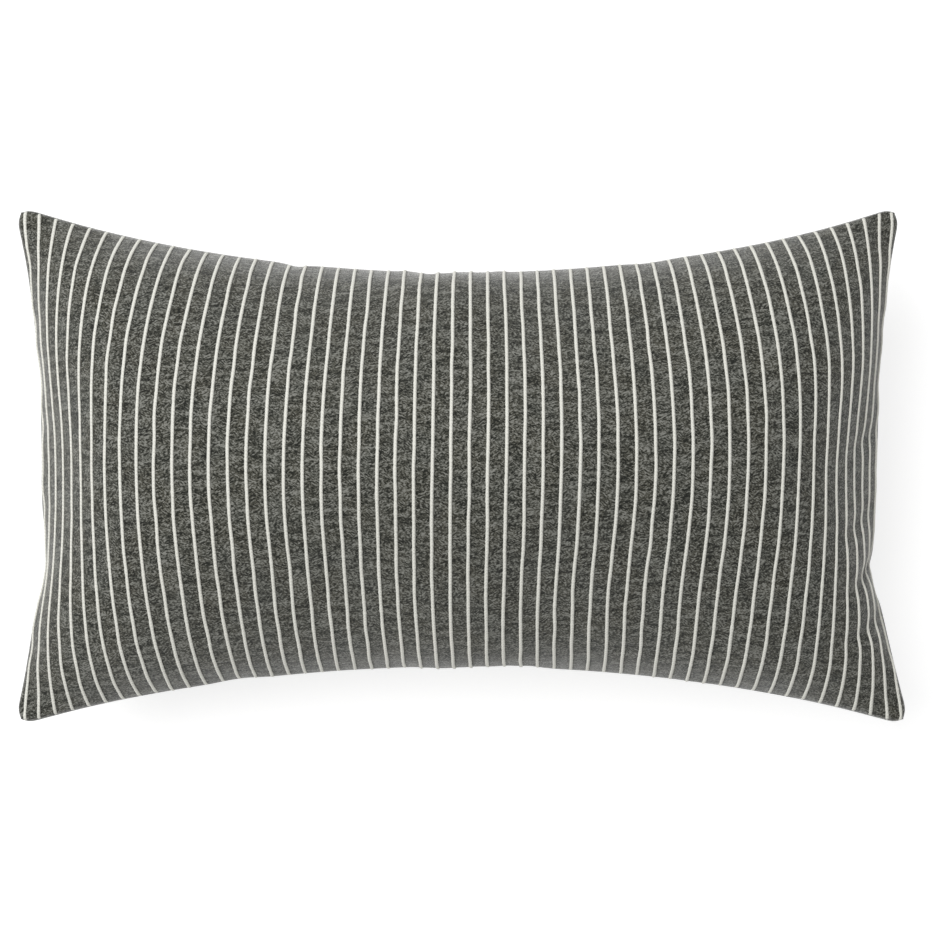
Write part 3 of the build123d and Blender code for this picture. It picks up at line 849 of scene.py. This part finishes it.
# ---- Fibre fill ----
# Crimped white polyester fibre, packed into one soft lumpy mass just inside the insert's case.
FIBRE_LUMP = 0.0008
top, bottom = (
    insert_form(side, form, INSERT_INSET + FILL_CLEARANCE, FILL_CLEARANCE)
    for side, form in zip((1, -1), insert_panels)
)
rows, columns = top.shape[:2]
for side, form in ((1, top), (-1, bottom)):
    lumps = wander(form[..., 0], form[..., 1], 0.017, 0.017, 30 + side)
    form[1:-1, 1:-1, 2] -= side * FIBRE_LUMP * (1 + lumps[1:-1, 1:-1])
fill_border = rim(rows, columns)
next_border = np.roll(fill_border, -1)
half_count = rows * columns
fill_strip = np.stack([fill_border + half_count, next_border + half_count, next_border, fill_border], axis=1)
fill_faces = [quads(rows, columns), quads(rows, columns, half_count)[:, ::-1], fill_strip]
fill_points = np.concatenate([top.reshape(-1, 3), bottom.reshape(-1, 3)])
fill = new_object("insert_fibre", fill_points, faces=np.concatenate(fill_faces).tolist())
fill.data.shade_smooth()
fibre_wool, tree, shader = new_material("white_fibre")
spot = node(tree, "ShaderNodeTexCoord").outputs["Object"]
strands = node(
    tree, "ShaderNodeTexNoise", Vector=spot, Scale=420.0, Detail=5.0, Roughness=0.7, Distortion=1.5
).outputs[0]
fibre_white = mixed(tree, strands, (0.78, 0.78, 0.76, 1), (0.95, 0.95, 0.94, 1))
tree.links.new(fibre_white, shader.inputs["Base Color"])
bump = node(tree, "ShaderNodeBump", Strength=0.8, Distance=0.0012, Height=strands)
tree.links.new(bump.outputs[0], shader.inputs["Normal"])
shader.inputs["Roughness"].default_value = 1.0
fill.data.materials.append(fibre_wool)
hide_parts("insert_fill")
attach(fill, "pillow")

# ---- Sewing threads ----
# Charcoal lockstitch closes the cover and holds the zip, white lockstitch closes the insert, and the
# cover's raw edges are overlocked. Each stitch is a short spun thread, laid over and over along its line.
STITCH_PITCH = 0.0033
THREAD_RADIUS = 0.0002
OVERLOCK_PITCH = 0.0024
ZIP_CLEAR = 0.210
CORNER_CLEAR = 0.80


def tube(name, line, radius, sides=5):
    """A thin round thread along a line of points in its own small frame: x along, y across, z up."""
    line = np.array(line, float)
    tangent = np.gradient(line, axis=0)
    tangent /= np.linalg.norm(tangent, axis=1, keepdims=True)
    first = np.cross(tangent, (0.31, 0.95, 0.05))
    first /= np.linalg.norm(first, axis=1, keepdims=True)
    second = np.cross(tangent, first)
    angles = np.arange(sides) * 2 * pi / sides
    ring = np.cos(angles)[None, :, None] * first[:, None] + np.sin(angles)[None, :, None] * second[:, None]
    vertices = (line[:, None] + radius * ring).reshape(-1, 3)
    faces = []
    for step in range(len(line) - 1):
        for side in range(sides):
            following = (side + 1) % sides
            corners = (step * sides + side, step * sides + following)
            faces.append((*corners, corners[1] + sides, corners[0] + sides))
    faces.append(tuple(range(sides))[::-1])
    faces.append(tuple(len(vertices) - sides + side for side in range(sides)))
    return new_object(name, vertices, faces=faces)


repeat_tree, repeat_in, repeat_out = new_group(
    "Repeat along a path",
    "GeometryNodeTree",
    [
        ("Geometry", "NodeSocketGeometry", None),
        ("Spacing", "NodeSocketFloat", STITCH_PITCH),
        ("Piece", "NodeSocketObject", None),
        ("Material", "NodeSocketMaterial", None),
    ],
    [("Geometry", "NodeSocketGeometry")],
)
line = path_curve(repeat_tree, repeat_in.outputs["Geometry"])
spaced = node(
    repeat_tree, "GeometryNodeResampleCurve", {"mode": "LENGTH"},
    Curve=line, Length=repeat_in.outputs["Spacing"],
).outputs[0]
turning = node(
    repeat_tree, "FunctionNodeAxesToRotation",
    Primary_Axis=node(
        repeat_tree, "GeometryNodeInputNamedAttribute", {"data_type": "FLOAT_VECTOR"}, Name="cloth_normal"
    ).outputs[0],
    Secondary_Axis=node(repeat_tree, "GeometryNodeInputTangent").outputs[0],
).outputs[0]
one_piece = node(repeat_tree, "GeometryNodeObjectInfo", Object=repeat_in.outputs["Piece"]).outputs["Geometry"]
copies = node(
    repeat_tree, "GeometryNodeInstanceOnPoints", Points=spaced, Instance=one_piece, Rotation=turning
).outputs[0]
finished(repeat_tree, repeat_in, repeat_out, copies)

bite = STITCH_PITCH * 0.46
stitch_rise = ((-1, -0.0002), (-0.8, 0.00005), (0, 0.00012), (0.8, 0.00005), (1, -0.0002))
stitch = tube("one_stitch", [(bite * place, 0, rise) for place, rise in stitch_rise], THREAD_RADIUS)
loop_angles = np.linspace(0, 2 * pi, 9)
overlock_loop = tube(
    "one_overlock_loop",
    [(OVERLOCK_PITCH * (a / (2 * pi) - 0.5), 0.0004 * cos(a), 0.0007 * sin(a)) for a in loop_angles],
    THREAD_RADIUS,
)


def level_path(x, y, level):
    """Points at one height, with normals that point up."""
    points = np.stack([x, y, np.full_like(x, level)], axis=-1)
    return points, np.tile((0.0, 0.0, 1.0), (len(points), 1))


def seam_run(edge, start, end, inset, lapped=False, steps=80):
    """Points x, y along one seam from start to end, each a place from -1 to 1, set in from the edge."""
    run = np.linspace(start, end, steps)
    fixed = {"top": 1.0, "right": 1.0, "bottom": -1.0, "left": -1.0}[edge]
    whole = np.full_like(run, fixed)
    along_x = edge in ("top", "bottom")
    return seam_patch(run if along_x else whole, whole if along_x else run, inset, lapped)


def repeated(name, paths, template, spacing, material):
    """Copies of a small piece along paths, as one mesh that rides with the pillow."""
    points, normals = zip(*paths)
    values = {"Spacing": spacing, "Piece": template, "Material": material}
    made = grow(name, list(points), list(normals), repeat_tree, values)
    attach(made, "pillow")
    return made


def spun_thread(name, light, dark):
    """Spun thread: fine twisted fibres, dull."""
    material, tree, shader = new_material(name)
    spot = node(tree, "ShaderNodeTexCoord").outputs["Object"]
    fuzz = node(tree, "ShaderNodeTexNoise", Vector=spot, Scale=2200.0, Detail=3.0, Roughness=0.6).outputs[0]
    tree.links.new(mixed(tree, mapped(tree, fuzz, 0.35, 0.65), dark, light), shader.inputs["Base Color"])
    bump = node(tree, "ShaderNodeBump", Strength=0.5, Distance=0.0001, Height=fuzz)
    tree.links.new(bump.outputs[0], shader.inputs["Normal"])
    shader.inputs["Roughness"].default_value = 0.8
    return material


charcoal_thread = spun_thread("charcoal_thread", (0.11, 0.11, 0.10, 1), (0.05, 0.05, 0.045, 1))
white_thread = spun_thread("white_thread", (0.88, 0.88, 0.86, 1), (0.66, 0.66, 0.63, 1))

seam_inset = 0.0018
bottom_end = ZIP_CLEAR / (CORNER_WIDTH / 2)
closing_runs = [
    seam_run("left", -1, 1, seam_inset, lapped=True),
    seam_run("top", -1, 1, seam_inset),
    seam_run("right", 1, -1, seam_inset, lapped=True),
    seam_run("bottom", -1, -bottom_end, seam_inset, lapped=True),
    seam_run("bottom", bottom_end, 1, seam_inset, lapped=True),
]
seam_paths = [level_path(x, y, SEAM_LEVEL) for x, y in closing_runs]
cover_seam = repeated(
    "cover_seam_stitches", seam_paths, stitch, STITCH_PITCH, charcoal_thread
)
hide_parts("cover_seam_thread")
edge_runs = [
    seam_run("left", -CORNER_CLEAR, CORNER_CLEAR, TURN_IN + 0.0004),
    seam_run("top", -0.87, 0.87, TURN_IN + 0.0004),
    seam_run("right", CORNER_CLEAR, -CORNER_CLEAR, TURN_IN + 0.0004),
]
for label, side in (("front", 1), ("back", -1)):
    level = SEAM_LEVEL + side * (SEAM_HALF_GAP + 0.0006 + CLOTH_THICKNESS / 2)
    edge_paths = [level_path(x, y, level) for x, y in edge_runs]
    made = repeated(
        f"overlock_{label}", edge_paths, overlock_loop, OVERLOCK_PITCH, charcoal_thread
    )
    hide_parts(f"overlock_thread_{label}")

insert_inset = INSERT_INSET + 0.0012
closed_half = 0.22
insert_runs = [
    seam_run("left", -1, 1, insert_inset, lapped=True),
    seam_run("top", -1, 1, insert_inset),
    seam_run("right", 1, -1, insert_inset, lapped=True),
    seam_run("bottom", -1, -closed_half, insert_inset, lapped=True),
    seam_run("bottom", closed_half, 1, insert_inset, lapped=True),
]
insert_paths = [level_path(x, y, SEAM_LEVEL) for x, y in insert_runs]
insert_seam = repeated(
    "insert_seam_stitches", insert_paths, stitch, STITCH_PITCH, white_thread
)
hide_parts("insert_seam_thread")
closing_run = seam_run("bottom", -closed_half, closed_half, insert_inset, lapped=True)
closing_paths = [level_path(*closing_run, SEAM_LEVEL)]
closing = repeated(
    "insert_closing_stitches", closing_paths, stitch, STITCH_PITCH * 0.8, white_thread
)
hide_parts("insert_closing_stitch")

# ---- Zip ----
# A number 3 nylon coil zip hides under the front panel's bottom edge. Two woven tapes each carry a
# row of coil, sewn to the two panels. The slider, pull and stops are zinc, painted charcoal.
BOTTOM_RADIUS = ((CORNER_WIDTH / 2) ** 2 + BOWS["bottom"] ** 2) / (2 * BOWS["bottom"])
ARC_CENTRE_Y = -CORNER_HEIGHT / 2 + BOWS["bottom"] - BOTTOM_RADIUS
CHAIN_INWARD = 0.0062
CHAIN_RADIUS = BOTTOM_RADIUS + CHAIN_INWARD
CHAIN_END = 0.200
TAPE_END = CHAIN_END + 0.006
STITCHED_END = CHAIN_END + 0.003
BACK_STITCH_INSET = 0.0037
TAPE_HALF = 0.00025
TAPE_WIDTH = 0.0126
TAPE_TURN = 0.0017
TAPE_UPPER = 0.0017
CHANNEL_HALF = 0.0006
COIL_WIDTH = 0.0019
COIL_DROP = 0.0014
COIL_PITCH = 0.0011
COIL_WIRE = 0.00026
COIL_MIDDLE = -TAPE_HALF - 0.00005 - COIL_DROP / 2


def chain_points(inward, up, start, end, steps):
    """Points along the bottom seam's arc: inward from the edge, above the seam, from start to end."""
    angle = np.linspace(start, end, steps) / CHAIN_RADIUS
    radius = BOTTOM_RADIUS + inward
    return radius * np.sin(angle), ARC_CENTRE_Y + radius * np.cos(angle), SEAM_LEVEL + up


def chain_path(inward, up, start, end, steps=160):
    """The same points with normals that point up, as the stitches and coils need."""
    return level_path(*chain_points(inward, up, start, end, steps))


def tape(name, profile, steps=240):
    """A ribbon with a closed profile of (inward, up) corners, swept along the bottom seam."""
    sections = []
    for inward, up in profile:
        x, y, level = chain_points(inward, up, -TAPE_END, TAPE_END, steps)
        sections.append(np.stack([x, y, np.full_like(x, level)], axis=-1))
    vertices = np.stack(sections, axis=1).reshape(-1, 3)
    around = len(profile)
    faces = []
    for step in range(steps - 1):
        for corner in range(around):
            following = (corner + 1) % around
            low = (step * around + corner, step * around + following)
            faces.append((low[0], low[1], low[1] + around, low[0] + around))
    faces.append(tuple(range(around))[::-1])
    faces.append(tuple(range(len(vertices) - around, len(vertices))))
    made = new_object(name, vertices, faces=faces)
    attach(made, "pillow")
    return made


coil_gap = CHANNEL_HALF + 0.00005
front_profile = [
    (CHAIN_INWARD - coil_gap, -TAPE_HALF),
    (TAPE_TURN, -TAPE_HALF),
    (TAPE_TURN, TAPE_UPPER + 2 * TAPE_HALF),
    (TAPE_TURN + TAPE_WIDTH, TAPE_UPPER + 2 * TAPE_HALF),
    (TAPE_TURN + TAPE_WIDTH, TAPE_UPPER),
    (TAPE_TURN + 2 * TAPE_HALF, TAPE_UPPER),
    (TAPE_TURN + 2 * TAPE_HALF, TAPE_HALF),
    (CHAIN_INWARD - coil_gap, TAPE_HALF),
]
back_low = CHAIN_INWARD + coil_gap
back_profile = [
    (back_low, -TAPE_HALF),
    (back_low, TAPE_HALF),
    (back_low + TAPE_WIDTH, TAPE_HALF),
    (back_low + TAPE_WIDTH, -TAPE_HALF),
]
charcoal_tape = woven_material(
    "charcoal_tape", 0.0005, (0.085, 0.085, 0.08, 1), (0.055, 0.055, 0.05, 1), 0.85
)
for label, profile in (("front", front_profile), ("back", back_profile)):
    made = tape(f"zip_tape_{label}", profile)
    made.data.materials.append(charcoal_tape)
    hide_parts(f"zipper_tape_{label}")

coil_nylon, tree, shader = new_material("coil_nylon")
spot = node(tree, "ShaderNodeTexCoord").outputs["Object"]
moulding = node(tree, "ShaderNodeTexNoise", Vector=spot, Scale=900.0, Detail=2.0).outputs[0]
nylon_black = mixed(tree, moulding, (0.045, 0.045, 0.045, 1), (0.075, 0.075, 0.072, 1))
tree.links.new(nylon_black, shader.inputs["Base Color"])
tree.links.new(mapped(tree, moulding, 0.3, 0.7, 0.32, 0.5), shader.inputs["Roughness"])
turn_half = (COIL_WIDTH / 2 - COIL_WIRE, COIL_DROP / 2 - COIL_WIRE)
coil_turn = tube(
    "one_coil_turn",
    [(COIL_PITCH * (a / (2 * pi) - 0.5), turn_half[0] * cos(a), turn_half[1] * sin(a)) for a in loop_angles],
    COIL_WIRE,
)
for label, away in (("front", -1), ("back", 1)):
    inward = CHAIN_INWARD + away * (CHANNEL_HALF + COIL_WIDTH / 2)
    row = [chain_path(inward, COIL_MIDDLE, -CHAIN_END + COIL_PITCH / 2, CHAIN_END - COIL_PITCH / 2)]
    made = repeated(f"zip_coil_{label}", row, coil_turn, COIL_PITCH, coil_nylon)
    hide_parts(f"zipper_coil_{label}")

front_level = TAPE_UPPER + 2 * TAPE_HALF + THREAD_RADIUS
front_row = [chain_path(TAPE_TURN + TAPE_WIDTH / 2, front_level, -STITCHED_END, STITCHED_END)]
back_row = [chain_path(LAP + BACK_STITCH_INSET, -TAPE_HALF - THREAD_RADIUS, -STITCHED_END, STITCHED_END)]
for label, row in (("front", front_row), ("back", back_row)):
    made = repeated(f"zip_stitches_{label}", row, stitch, STITCH_PITCH, charcoal_thread)
    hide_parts(f"zipper_stitch_{label}")
for template in (stitch, overlock_loop, coil_turn):
    bpy.data.objects.remove(template)

painted_zinc, tree, shader = new_material("painted_zinc")
spot = node(tree, "ShaderNodeTexCoord").outputs["Object"]
speckle = node(tree, "ShaderNodeTexNoise", Vector=spot, Scale=1400.0, Detail=3.0).outputs[0]
rubbed = node(tree, "ShaderNodeTexNoise", Vector=spot, Scale=260.0, Detail=4.0, Roughness=0.7).outputs[0]
wear = mapped(tree, rubbed, 0.62, 0.72)
tree.links.new(mixed(tree, wear, (0.05, 0.05, 0.052, 1), (0.24, 0.24, 0.235, 1)), shader.inputs["Base Color"])
tree.links.new(mapped(tree, speckle, 0.3, 0.7, 0.34, 0.5), shader.inputs["Roughness"])
tree.links.new(mapped(tree, wear, 0.0, 1.0, 0.2, 0.9), shader.inputs["Metallic"])
bump = node(tree, "ShaderNodeBump", Strength=0.2, Distance=0.00005, Height=speckle)
tree.links.new(bump.outputs[0], shader.inputs["Normal"])
for name in ("zipper_slider", "zipper_pull", "zipper_top_stops", "zipper_bottom_stop"):
    metal_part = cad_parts[name]
    metal_part.data.materials.clear()
    metal_part.data.materials.append(painted_zinc)

# ---- Blank labels ----
# One small label of folded white satin tape is sewn into a side seam of the cover, inside it, and
# another into the insert's. Neither carries any words.
LABEL_CELLS = (10, 28)
LABEL_CURL = 0.0004
LABEL_THICKNESS = 0.0003
satin = woven_material("white_satin", 0.0003, (0.9, 0.9, 0.88, 1), (0.8, 0.8, 0.78, 1), 0.45)
for name in ("care_label", "insert_label"):
    low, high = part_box(name)
    label_x, label_y = np.meshgrid(
        np.linspace(low.x, high.x, LABEL_CELLS[0] + 1), np.linspace(low.y, high.y, LABEL_CELLS[1] + 1)
    )
    share = (label_x - low.x) / (high.x - low.x)
    curl = LABEL_CURL * share * np.sin((label_y - low.y) / (high.y - low.y) * 2 * pi)
    label_points = np.stack([label_x, label_y, (low.z + high.z) / 2 + curl], axis=-1).reshape(-1, 3)
    label_faces = quads(LABEL_CELLS[1] + 1, LABEL_CELLS[0] + 1)
    made = new_object(f"{name}_tape", label_points, faces=label_faces.tolist())
    made.data.materials.append(satin)
    made.data.shade_smooth()
    thick = made.modifiers.new("Thickness", "SOLIDIFY")
    thick.thickness = LABEL_THICKNESS
    thick.offset = 0
    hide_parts(name)
    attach(made, "pillow")
